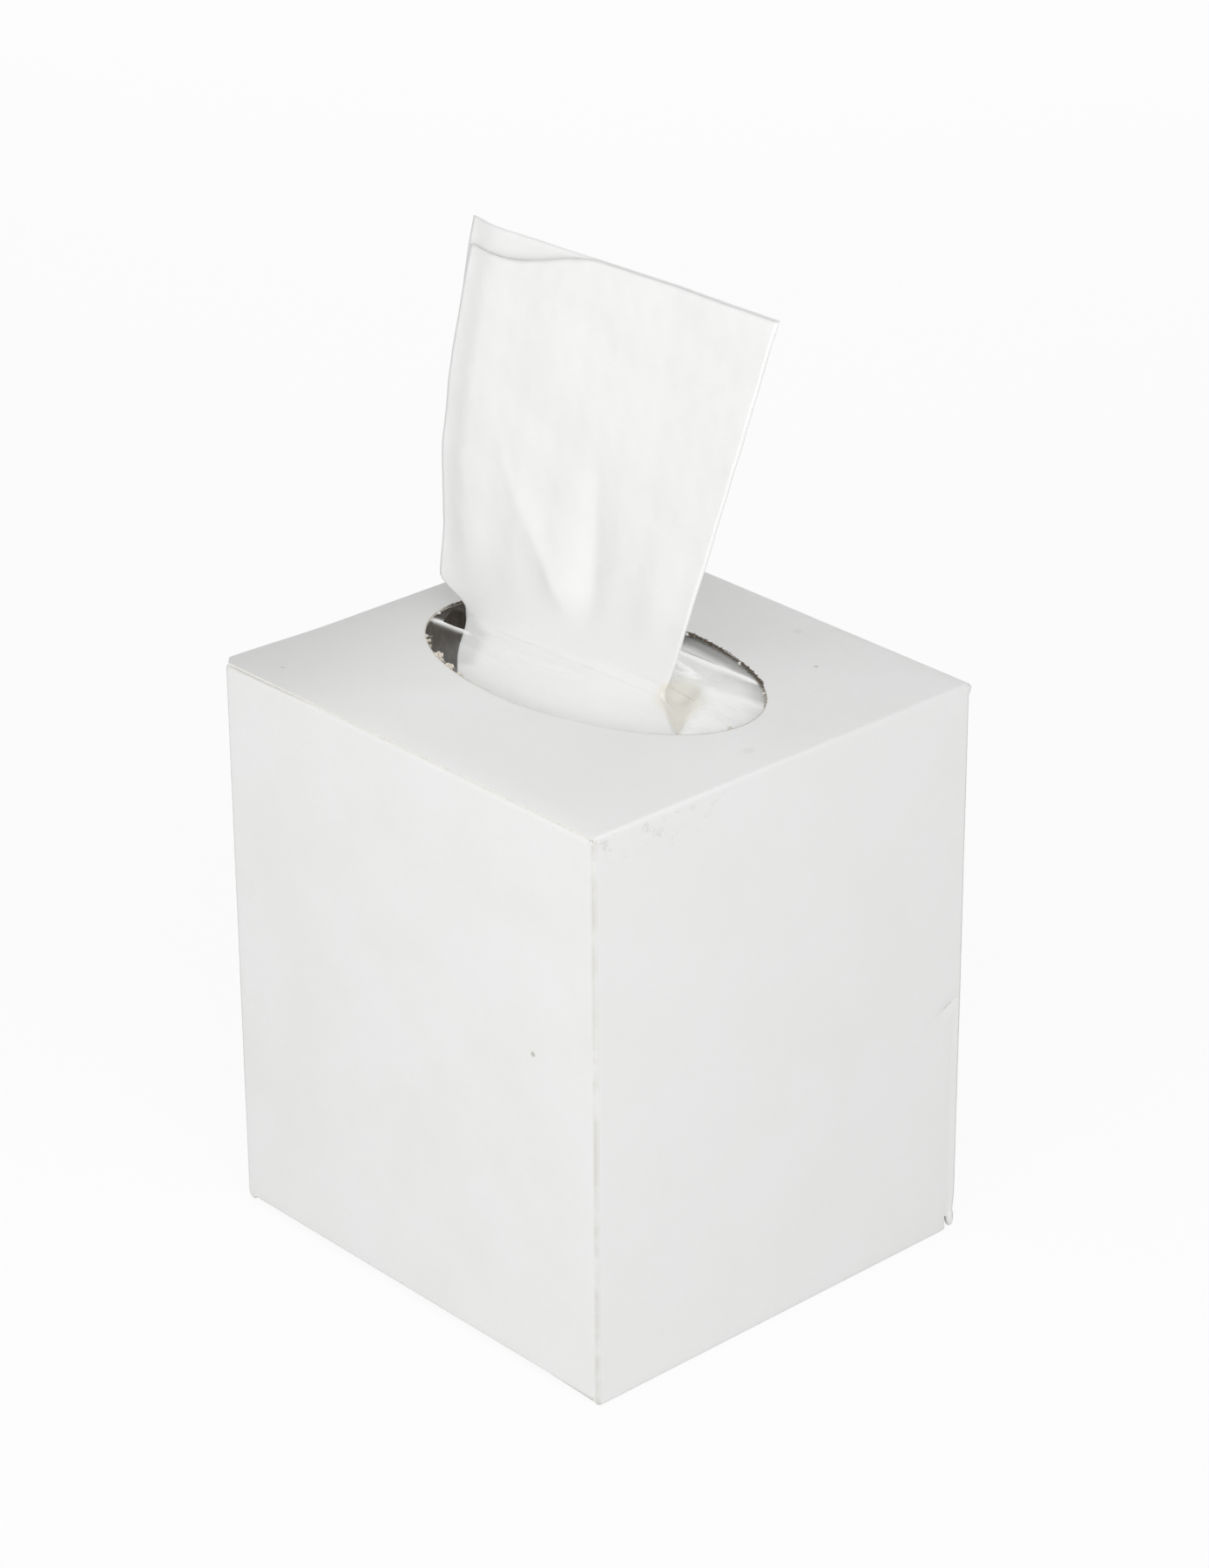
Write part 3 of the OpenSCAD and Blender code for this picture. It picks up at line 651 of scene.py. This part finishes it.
def film_material():
    """Clear film: faint haze and painted sheen, painted highlights along its folds, and glossy."""
    s = Shader("clear_film")
    folds = s.attribute("folds")
    cloud = s.span(s.noise(90.0, 4.0, 0.6, stretch=(0.5, 2.0, 1.0)), 0.3, 0.75, 0.85, 1.15)
    haze = s.math("MULTIPLY", s.attribute("haze"), cloud)
    # Painted reflection: the film grows milkier towards grazing angles.
    weight = s.tree.nodes.new("ShaderNodeLayerWeight")
    weight.inputs["Blend"].default_value = 0.25
    haze = s.math("ADD", s.math("MULTIPLY", weight.outputs["Fresnel"], 0.10), haze)
    # Painted highlights: the folds are made nearly opaque in the film's pale colour.
    alpha = s.math("ADD", haze, s.math("MULTIPLY", folds, 0.9))
    normal = s.bump(s.noise(260.0, 2.0, 0.5, stretch=(0.4, 1.6, 1.0)), 0.05, 0.0005)
    s.surface.inputs["Specular IOR Level"].default_value = 0.8
    s.material.surface_render_method = "BLENDED"
    alpha = s.math("MINIMUM", alpha, 0.95)
    return s.finish(Base_Color=rgb(0.95, 0.955, 0.945), Roughness=0.16, Alpha=alpha, Normal=normal)


FILM_COLS = 220
FILM_ROWS = 50
# Heights in mm of the film's marked folds, its wrinkles and its fine wrinkles.
FOLD_HEIGHT, WRINKLE, FINE_WRINKLE = 0.45, 0.15, 0.05


def make_film():
    """The film under the mouth, pushed up by the tissue, with its slit open and its folds raised."""
    half_l, half_w = MOUTH_A + FILM_MARGIN, MOUTH_B + FILM_MARGIN
    column = np.linspace(-half_l, half_l, FILM_COLS + 1)
    run = np.linspace(0, 1, FILM_ROWS + 1)
    side = np.concatenate([-np.ones(FILM_ROWS + 1), np.ones(FILM_ROWS + 1)])
    share = np.concatenate([run, run[::-1]])
    x = np.repeat(column[:, None], len(share), axis=1)
    edge = lip(x) + np.where(side < 0, bow(x), 0)
    y = side * (half_w + (edge - half_w) * share)
    out = np.hypot(x / MOUTH_A, y / MOUTH_B)
    inside = smooth((1 - out) / 0.12)
    seen_x, seen_y = seen_at(x, y, film_lift(x, y) - BOARD_T)
    folds = sum(strength * streak(seen_x, seen_y, (a, b), half) for a, b, half, strength in STREAKS)
    calm = 1 - 0.75 * smooth((x - 2) / 14)
    wrinkles = WRINKLE * ripple(x * 0.35, y, 6.0, 11) + FINE_WRINKLE * ripple(x * 0.5, y, 2.6, 12)
    height = FOLD_HEIGHT * folds + calm * wrinkles
    z = film_lift(x, y) + inside * height - FILM_T / 2
    points = at_mouth(x, y, z + CARTON_H - BOARD_T).reshape(-1, 3)
    open_cols = (column[:-1] > -SLIT_HALF) & (column[1:] < SLIT_HALF)
    faces = grid_faces(FILM_COLS + 1, len(share), lambda i, j: not (j == FILM_ROWS and open_cols[i]))
    piece = new_object("film_sheet", points, faces, film_material())
    # Painted highlights along the folds.
    paint(piece, "folds", np.clip(folds * smooth((1.05 - out) / 0.05), 0, 1))
    # Haze with painted sheen, stronger where the film should look brighter.
    paint(piece, "haze", film_haze_and_sheen(seen_x, seen_y))
    piece.visible_shadow = False
    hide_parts("slit_film")
    return piece


# The raised tissue's shape in its own frame, as in the part's source.
LEFT_SWELL, SWELL_START, SWELL_RUN = 8.0, 1.5, 6.0
LEFT_LEAN, LEAN_START, LEAN_POWER = 10.0, 35.5, 1.2
RIGHT_SPREAD, SPREAD_POWER = 32.0, 0.94
SKIRT_LEFT, SKIRT_RIGHT, SKIRT_DROP, SKIRT_HEAD, SKIRT_BACK = 2.5, 30.0, 1.5, -1.2, 1.35
SKIRT_BULGE, SKIRT_HIGH, SKIRT_NEAR, SKIRT_POWER, SKIRT_IN, SKIRT_SLIDE = 1.6, 0.1, 0.5, 0.6, 0.3, 1.0
POCKET_FROM, POCKET_TO = (-6.0, 11.0), (13.0, -10.0)
POCKET_DEPTH, POCKET_W, POCKET_TIP, POCKET_RUN = 3.5, 7.0, 0.5, 0.25
HEM_SAG, SAG_END, SAG_RUN, SAG_START = 6.0, 4.0, 30.0, 0.55
FOLD_START, FOLD_RUN = 5.0, 15.0
VALLEY_DEPTH, VALLEY_X, VALLEY_SLANT, VALLEY_W, VALLEY_TOP = 1.8, -2.5, 0.1, 5.0, 58.0
CREASE_HEIGHT, CREASE_X, CREASE_SLANT, CREASE_W, CREASE_TOP = 1.4, -2.1, -0.6, 4.0, 56.0
GATHER_DEPTH, GATHERS, GATHER_RUN = 0.4, 5.5, 22.0
LEFT_CURL, CURL_W = 1.5, 9.0
RIGHT_BEND, LINE_X0, LINE_X1, BEND_W = 1.2, 9.3, 24.3, 26.0


def left_x(z):
    lean = LEFT_LEAN * (np.maximum(z - LEAN_START, 0) / (RISE - LEAN_START)) ** LEAN_POWER
    return NECK_X0 - LEFT_SWELL * smooth((z - SWELL_START) / SWELL_RUN) + lean


def right_x(z):
    return NECK_X1 + RIGHT_SPREAD * (z / RISE) ** SPREAD_POWER


def fold_at(x, at, width):
    return np.exp(-(np.sqrt((x - at) ** 2 + 1) - 1) / width)


def bend_y(x, z):
    """How far the sheet is bent across: valley, long crease, gathers, curled edge and bent right part."""
    rising = smooth((z - FOLD_START) / FOLD_RUN)
    share = (x - left_x(z)) / (right_x(z) - left_x(z))
    line = LINE_X0 + (LINE_X1 - LINE_X0) * z / RISE
    valley = VALLEY_DEPTH * fold_at(x, VALLEY_X + VALLEY_SLANT * z, VALLEY_W)
    crease = CREASE_HEIGHT * fold_at(x, CREASE_X + CREASE_SLANT * z, CREASE_W)
    total = valley * (1 - smooth((z - FOLD_RUN) / (VALLEY_TOP - FOLD_RUN)))
    total = total - crease * (1 - smooth(z / CREASE_TOP))
    total = total + GATHER_DEPTH * np.sin(2 * math.pi * GATHERS * share) * np.exp(-z / GATHER_RUN)
    total = total + LEFT_CURL * smooth((left_x(z) + CURL_W - x) / CURL_W)
    total = total - RIGHT_BEND * np.maximum(x - line, 0) / BEND_W
    return rising * total


def skirt_curve(t):
    """The skirt's half width and height, from the pile at t = 0 to the slit at 1."""
    s = 1 - t
    half = s ** 3 + 3 * s * s * t * SKIRT_BULGE + 3 * s * t * t * SKIRT_NEAR
    z = (s ** 3 + 3 * s * s * t * SKIRT_HIGH) * SKIRT_FOOT
    z = z + 3 * s * t * t * (SKIRT_HEAD - SKIRT_DROP) + t ** 3 * SKIRT_HEAD
    return half * SKIRT_SPREAD + t ** 3 * LEAF_GAP, z


def pocket(x, y):
    """How deep the skirt's right part is tucked in at a point."""
    run_x, run_y = POCKET_TO[0] - POCKET_FROM[0], POCKET_TO[1] - POCKET_FROM[1]
    length = math.hypot(run_x, run_y)
    dx, dy = x - NECK_X1 - POCKET_FROM[0], y - POCKET_FROM[1]
    s = np.clip((dx * run_x + dy * run_y) / length ** 2, 0, 1)
    off = np.abs(dx * run_y - dy * run_x) / length
    tucked = smooth(1 - off / (POCKET_W * (1 - s) + POCKET_TIP))
    return POCKET_DEPTH * tucked * smooth(s / POCKET_RUN) * smooth((1 - s) / POCKET_RUN)


# The left edge of the sheet where one leaf alone is seen, painted grey as the shade of the dark inside
# behind it, as an outline in the mouth's frame.
EDGE_SEEN = ((-45.0, 4.0), (-31.0, -13.0), (-21.0, -20.0), (-18.6, -18.0), (-27.0, -5.0))
LEAF_COLS = 110
FOLD_COLS = 60
SKIRT_ROWS = 70
RISE_ROWS = 90
ROW_POWER = 1.1
# Heights in mm of the soft sheet's crumple, the share of the solid's thickness that it shows, its flat size
# in m, and the heights in mm up to which the pocket's warm painted shade and the edge's grey painted shade
# reach.
CRUMPLE, FINE_CRUMPLE = 0.12, 0.05
SHEET_SHARE = 0.8
SHEET_W, SHEET_H = 0.195, 0.135
POCKET_SHADE_TOP, EDGE_SHADE_TOP = 2.5, 12.0


def sheet_columns():
    """For each column of the sheet: share along the leaf, angle round the fold, and the leaf's side."""
    leaf = np.linspace(0, 1, LEAF_COLS, endpoint=False)
    turn = np.linspace(0, math.pi, FOLD_COLS + 1)
    share = np.concatenate([leaf, np.ones(FOLD_COLS + 1), leaf[::-1]])
    angle = np.concatenate([0 * leaf, turn, 0 * leaf + math.pi])
    side = np.concatenate([0 * leaf - 1, np.where(turn < math.pi / 2, -1, 1), 0 * leaf + 1])
    return share, angle, side


def skirt_rows():
    """The sheet under the slit: x, y and z in the mouth's frame."""
    share, angle, side = sheet_columns()
    t = np.linspace(0, 1, SKIRT_ROWS)[:, None]
    half, z = skirt_curve(t)
    left = NECK_X0 - SKIRT_LEFT * smooth((1 - t) / SKIRT_IN) + SKIRT_SLIDE * (half - LEAF_GAP)
    end = NECK_X1 + SKIRT_RIGHT * (1 - t) ** SKIRT_POWER - half
    x = left + (end - left) * share + half * np.sin(angle)
    wide = np.where(side < 0, 1, 1 + (SKIRT_BACK - 1) * smooth((1 - t) / SKIRT_IN))
    y = -half * wide * np.cos(angle)
    return x, y, z - pocket(x, y)


def rise_rows():
    """The sheet over the slit, with its folds and sagging front hem: x, y and z in the mouth's frame."""
    share, angle, side = sheet_columns()
    z = (RISE * np.linspace(0, 1, RISE_ROWS + 1) ** ROW_POWER)[:, None]
    end = right_x(z) - LEAF_GAP
    x = left_x(z) + (end - left_x(z)) * share + LEAF_GAP * np.sin(angle)
    y = -LEAF_GAP * np.cos(angle) + bend_y(x, z)
    soft = smooth((z - FOLD_START) / FOLD_RUN)
    y = y + soft * (CRUMPLE * ripple(x, z, 17.0, 21) + FINE_CRUMPLE * ripple(x, z, 6.5, 22))
    sag = HEM_SAG * (1 - smooth((x - SAG_END + SAG_RUN) / SAG_RUN))
    drop = sag * smooth((z / RISE - SAG_START) / (1 - SAG_START)) * (side < 0)
    return x, y, z - drop


def tissue_grid():
    """The sheet's middle surface: rows from the pile up, columns round the two leaves."""
    x, y, z = (np.concatenate(both) for both in zip(skirt_rows(), rise_rows()))
    sheet_u = np.broadcast_to(np.linspace(0, 1, x.shape[1]), x.shape)
    sheet_v = np.broadcast_to(np.linspace(0, 1, x.shape[0])[:, None], x.shape)
    seen = seen_at(x, y, z)
    # Painted shade: warm shade in the tucked pocket.
    warm = inside_of(*seen, POCKET_SEEN, 0.8) * (z < POCKET_SHADE_TOP)
    # Painted shade: grey on the single leaf's left edge, where the dark inside shows through.
    grey = inside_of(*seen, EDGE_SEEN, 3.0) * (z < EDGE_SHADE_TOP)
    uvs = np.stack([sheet_u * SHEET_W, sheet_v * SHEET_H], axis=-1)
    return at_mouth(x, y, z + CARTON_H), uvs, warm, grey


def tissue_material():
    """Soft thin tissue: crepe lines across the sheet and fine fibres, with painted warm shade in the pocket
    and painted grey shade at the left edge.
    """
    s = Shader("soft_tissue")
    crepe = s.noise(1.0, 3.0, 0.6, stretch=(350.0, 1600.0, 1.0), source="UV")
    fibres = s.noise(900.0, 5.0, 0.7)
    clouds = s.noise(60.0, 3.0, 0.5)
    colour = s.blend(s.span(clouds, 0.35, 0.65), rgb(0.905, 0.905, 0.90), rgb(0.89, 0.89, 0.882))
    colour = s.blend(s.span(fibres, 0.55, 0.75, 0.0, 0.25), colour, rgb(0.83, 0.83, 0.82))
    # Painted shade: warm in the tucked pocket.
    colour = s.blend(s.math("MULTIPLY", s.attribute("warm"), 0.9), colour, rgb(0.87, 0.85, 0.77))
    # Painted shade: grey at the single leaf's left edge.
    colour = s.blend(s.math("MULTIPLY", s.attribute("grey"), 0.9), colour, rgb(0.70, 0.71, 0.70))
    normal = s.bump(crepe, 0.10, 0.0003)
    normal = s.bump(fibres, 0.06, 0.0003, normal)
    s.surface.inputs["Specular IOR Level"].default_value = 0.15
    return s.finish(Base_Color=colour, Roughness=0.9, Normal=normal)


def make_tissue(material):
    """The sheet drawn up through the slit, folded double, with its skirt spread on the pile."""
    points, uvs, warm, grey = tissue_grid()
    rows, cols = points.shape[:2]
    piece = new_object("tissue_sheet", points.reshape(-1, 3), grid_faces(rows, cols), material,
                       uvs.reshape(-1, 2))
    paint(piece, "warm", warm)
    paint(piece, "grey", grey)
    solid = piece.modifiers.new("thickness", "SOLIDIFY")
    solid.thickness = TISSUE_T * SHEET_SHARE * MM
    solid.offset = 0.0
    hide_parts("raised_tissue")
    return piece


# The pile's stations along its length, steps across its top, and how uneven top and sides are, in mm.
STATIONS, TOP_STEPS = 60, 60
TOP_UNEVEN, SIDE_UNEVEN = 0.35, 0.4


def pile_outline():
    """The pile's section: rounded folds on alternate bundles at both sides, and a top in short steps."""
    height = (CARTON_H - HEADSPACE - FLOOR_Z) / BUNDLES
    half = PILE_W / 2 - BUNDLE_SHIFT - height / 2
    turn = np.radians(np.arange(-90, 91, 30))

    def end(i, folded):
        if folded:
            return np.stack([half + BUNDLE_SHIFT + height / 2 * np.cos(turn),
                             (i + 0.5 + np.sin(turn) / 2) * height], axis=1)
        return np.array([[half, (i + 0.12) * height], [half, (i + 0.88) * height]])

    right = np.concatenate([end(i, i % 2 == 0) for i in range(BUNDLES)])
    left = np.concatenate([end(i, i % 2 == 1) for i in range(BUNDLES)])[::-1] * (-1, 1)
    across = np.linspace(right[-1][0], left[0][0], TOP_STEPS + 2)[1:-1]
    top = np.stack([across, np.full(TOP_STEPS, BUNDLES * height)], axis=1)
    return np.concatenate([right, top, left]) + (0, FLOOR_Z)


def make_pile(material):
    """The folded pile, its bundles a little uneven along their length and its top sheet slightly waved."""
    outline = pile_outline()
    station = np.linspace(-PILE_L / 2, PILE_L / 2, STATIONS)
    x = np.repeat(station[:, None], len(outline), axis=1)
    y = np.repeat(outline[None, :, 0], len(station), axis=0)
    z = np.repeat(outline[None, :, 1], len(station), axis=0)
    top = smooth((z - (CARTON_H - HEADSPACE - 3)) / 3)
    side = smooth((np.abs(y) - PILE_W / 2 + 4) / 3)
    z = z - top * np.abs(TOP_UNEVEN * ripple(x, y, 24.0, 31))
    y = y - np.sign(y) * side * np.abs(SIDE_UNEVEN * ripple(x, z * 3, 22.0, 32))
    points = np.stack([x, y, z], axis=-1).reshape(-1, 3)
    rows, cols = x.shape
    faces = grid_faces(rows, cols, closed=True)
    faces.append(tuple(range(cols - 1, -1, -1)))
    faces.append(tuple((rows - 1) * cols + j for j in range(cols)))
    piece = new_object("tissue_pile", points, faces, material)
    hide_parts("tissue_stack")
    return piece


def pile_material():
    """The pile's folded tissue: close layers at its sides and ends, and soft fibres."""
    s = Shader("folded_tissue")
    layers = s.noise(1.0, 2.0, 0.6, stretch=(30.0, 30.0, 2600.0))
    fibres = s.noise(900.0, 5.0, 0.7)
    colour = s.blend(s.span(layers, 0.4, 0.65), rgb(0.875, 0.87, 0.855), rgb(0.80, 0.79, 0.765))
    colour = s.blend(s.span(fibres, 0.55, 0.75, 0.0, 0.25), colour, rgb(0.80, 0.795, 0.78))
    normal = s.bump(layers, 0.2, 0.0003)
    return s.finish(Base_Color=colour, Roughness=0.92, Normal=normal)


# The floor: half its width and its drop below the carton's base in m, and the share of its own light.
FLOOR_HALF = 4.0
FLOOR_DROP = 0.00005
FLOOR_GLOW = 0.9


def make_floor():
    """A pale floor that is nearly white to the camera and keeps the object's shadow."""
    mesh = bpy.data.meshes.new("floor")
    half = FLOOR_HALF
    corners = [(-half, -half, 0), (half, -half, 0), (half, half, 0), (-half, half, 0)]
    mesh.from_pydata(corners, [], [(0, 1, 2, 3)])
    s = Shader("pale_floor")
    s.finish(Base_Color=rgb(0.86, 0.86, 0.86), Roughness=0.9)
    glow = s.tree.nodes.new("ShaderNodeEmission")
    rays = s.tree.nodes.new("ShaderNodeLightPath")
    mix = s.tree.nodes.new("ShaderNodeMixShader")
    seen = s.math("MAXIMUM", rays.outputs["Is Camera Ray"], rays.outputs["Is Glossy Ray"])
    seen = s.math("MAXIMUM", seen, rays.outputs["Is Transmission Ray"])
    s.feed(mix.inputs[0], s.math("MULTIPLY", seen, FLOOR_GLOW))
    s.feed(mix.inputs[1], s.surface.outputs[0])
    s.feed(mix.inputs[2], glow.outputs[0])
    s.feed(s.tree.nodes["Material Output"].inputs["Surface"], mix.outputs[0])
    mesh.materials.append(s.material)
    floor = bpy.data.objects.new("floor", mesh)
    floor.location.z = -FLOOR_DROP
    bpy.context.scene.collection.objects.link(floor)


WORLD_LEVEL = 0.48


def make_world():
    """Even pale light all round, white where the camera, gloss or film looks at it."""
    world = bpy.data.worlds.new("studio")
    bpy.context.scene.world = world
    world.use_nodes = True
    tree = world.node_tree
    rays = tree.nodes.new("ShaderNodeLightPath")
    first = tree.nodes.new("ShaderNodeMath")
    first.operation = "MAXIMUM"
    tree.links.new(rays.outputs["Is Camera Ray"], first.inputs[0])
    tree.links.new(rays.outputs["Is Glossy Ray"], first.inputs[1])
    second = tree.nodes.new("ShaderNodeMath")
    second.operation = "MAXIMUM"
    tree.links.new(first.outputs[0], second.inputs[0])
    tree.links.new(rays.outputs["Is Transmission Ray"], second.inputs[1])
    level = tree.nodes.new("ShaderNodeMapRange")
    level.inputs["To Min"].default_value = WORLD_LEVEL
    level.inputs["To Max"].default_value = 1.0
    tree.links.new(second.outputs[0], level.inputs["Value"])
    tree.links.new(level.outputs["Result"], tree.nodes["Background"].inputs["Strength"])
    tree.nodes["Background"].inputs["Color"].default_value = rgb(1.0, 1.0, 1.0)


# Soft boxes: name, azimuth and height of the direction in degrees, distance and size in m, power in W.
# They all look at one point, in m.
LAMP_TARGET = (0.0, 0.0, 0.10)
LAMPS = (
    ("front_box", 5.0, 25.0, 0.60, 0.50, 0.94),
    ("side_box", 66.0, 30.0, 0.90, 0.90, 4.15),
    ("back_box", 225.0, 20.0, 0.90, 0.90, 1.5),
)


def make_lamps():
    """Soft boxes round the part: one in front, one at the right and a weaker one behind."""
    target = Vector(LAMP_TARGET)
    for name, azimuth, height, distance, size, power in LAMPS:
        a, e = math.radians(azimuth), math.radians(height)
        away = Vector((math.sin(a) * math.cos(e), -math.cos(a) * math.cos(e), math.sin(e)))
        light = bpy.data.lights.new(name, "AREA")
        light.size = size
        light.energy = power
        lamp = bpy.data.objects.new(name, light)
        lamp.location = target + away * distance
        lamp.rotation_euler = away.to_track_quat("Z", "Y").to_euler()
        bpy.context.scene.collection.objects.link(lamp)


# The photograph's camera, fitted to the box's corners: angles in degrees, place in m, and lens in mm
# for a sensor with a long side of 36 mm.
CAMERA_AZIMUTH, CAMERA_HEIGHT, CAMERA_ROLL = 47.72, 26.01, -0.37
CAMERA_PLACE = (0.6853, -0.6210, 0.5577)
CAMERA_LENS, CAMERA_SENSOR = 110.36, 36.0


def make_camera():
    """The camera at the photograph's place, with its slight roll."""
    a, e = math.radians(CAMERA_AZIMUTH), math.radians(CAMERA_HEIGHT)
    roll = math.radians(CAMERA_ROLL)
    back = Vector((math.sin(a) * math.cos(e), -math.cos(a) * math.cos(e), math.sin(e)))
    right = Vector((math.cos(a), math.sin(a), 0))
    up = back.cross(right)
    right, up = right * math.cos(roll) + up * math.sin(roll), up * math.cos(roll) - right * math.sin(roll)
    data = bpy.data.cameras.new("camera")
    data.lens = CAMERA_LENS
    data.sensor_width = CAMERA_SENSOR
    data.clip_start = 0.01
    camera = bpy.data.objects.new("camera", data)
    x, y, z = CAMERA_PLACE
    camera.matrix_world = Matrix(((right.x, up.x, back.x, x), (right.y, up.y, back.y, y),
                                  (right.z, up.z, back.z, z), (0, 0, 0, 1)))
    bpy.context.scene.collection.objects.link(camera)
    bpy.context.scene.camera = camera


make_camera()
make_world()
make_lamps()
make_floor()
make_board()
make_torn_rim()
make_film()
make_tissue(tissue_material())
make_pile(pile_material())
bpy.context.scene.view_settings.view_transform = "Standard"

bpy.context.view_layer.update()
